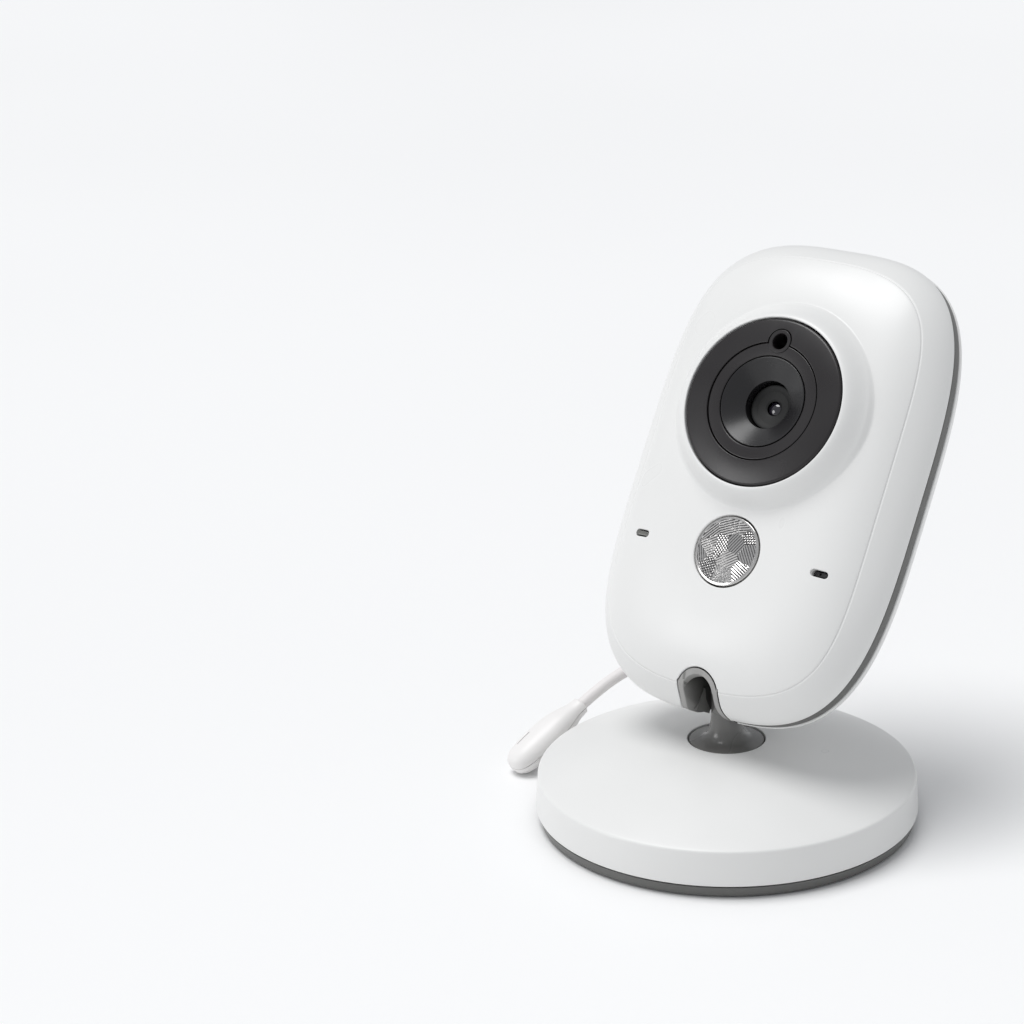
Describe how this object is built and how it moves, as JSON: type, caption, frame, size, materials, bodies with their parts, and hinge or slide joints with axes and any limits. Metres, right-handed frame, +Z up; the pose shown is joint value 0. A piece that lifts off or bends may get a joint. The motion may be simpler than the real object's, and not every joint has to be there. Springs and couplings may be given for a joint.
{
  "type": "baby monitor camera",
  "caption": "Table-top baby monitor camera: pill-shaped head with a ringed lens and round window, tilting on a swivel neck over a weighted round base, with a temperature probe.",
  "frame": {"origin": "middle of the base's underside, on the swivel axis, at the surface it stands on", "axes": "+Z up along the swivel axis, -Y the way the lens faces, +X to the object's left seen from behind the head, which is the right of the face seen from in front"},
  "size_m": [0.09, 0.092, 0.1103],
  "materials": {
    "white_shell": "satin gloss moulded white",
    "cream_plastic": "soft satin off-white",
    "grey_plastic": "satin warm grey",
    "pale_grey_plastic": "satin light grey",
    "charcoal_plastic": "satin infrared-passing charcoal",
    "black_plastic": "satin black",
    "dark_glass": "coated lens glass",
    "silver_reflector": "faceted bright",
    "steel": "zinc plated",
    "iron": "cast, unpainted",
    "rubber": "matt anti-slip",
    "circuit_board": "solder-masked laminate",
    "lamp_resin": "tinted clear resin"
  },
  "bodies": {
    "base": {"base_cover": "white_shell", "base_plate": "grey_plastic", "ballast_weight": "iron", "centre_pad": "rubber", "foot_pad_1": "rubber", "foot_pad_2": "rubber", "foot_pad_3": "rubber", "foot_pad_4": "rubber", "base_screw_1": "steel", "base_screw_2": "steel", "base_screw_3": "steel"},
    "neck": {"neck": "grey_plastic", "swivel_washer": "steel", "swivel_screw": "steel"},
    "head": {"front_shell": "white_shell", "rear_shell": "white_shell", "trim_band": "grey_plastic", "slot_liner": "pale_grey_plastic", "lens_ring": "charcoal_plastic", "lens_disc": "charcoal_plastic", "lens_cone": "charcoal_plastic", "lens_barrel": "black_plastic", "lens_glass": "dark_glass", "lens_holder": "black_plastic", "image_sensor": "lamp_resin", "light_sensor": "dark_glass", "infrared_board": "circuit_board", "infrared_lamp_1": "lamp_resin", "infrared_lamp_2": "lamp_resin", "infrared_lamp_3": "lamp_resin", "infrared_lamp_4": "lamp_resin", "infrared_lamp_5": "lamp_resin", "infrared_lamp_6": "lamp_resin", "faceted_window": "silver_reflector", "window_holder": "black_plastic", "window_lamp": "lamp_resin", "status_light_guide": "pale_grey_plastic", "microphone_seal": "black_plastic", "microphone": "steel", "main_board": "circuit_board", "speaker": "black_plastic", "antenna_board": "circuit_board", "power_inlet": "black_plastic", "pair_switch": "black_plastic", "shell_screw_1": "steel", "shell_screw_2": "steel", "shell_screw_3": "steel", "shell_screw_4": "steel", "tilt_pin": "steel", "tilt_washer_left": "steel", "tilt_washer_right": "steel", "tilt_nut": "steel", "lead_gland": "cream_plastic", "probe_lead": "cream_plastic", "probe_shell_upper": "cream_plastic", "probe_shell_lower": "cream_plastic", "thermistor": "black_plastic"},
    "button": {"pair_button": "pale_grey_plastic"}
  },
  "joints": [
    {"name": "pan", "type": "hinge", "parent": "base", "child": "neck", "pos_m": [0, 0, 0.0165], "axis": [0, 0, 1], "continuous": true},
    {"name": "tilt", "type": "hinge", "parent": "neck", "child": "head", "pos_m": [0, 0, 0.033], "axis": [1, 0, 0], "range_deg": [-6, 72]},
    {"name": "pair_press", "type": "slide", "parent": "head", "child": "button", "axis": [0, -0.848, 0.5299], "range_m": [0, 0.0008], "stiffness_N_per_m": 400}
  ]
}
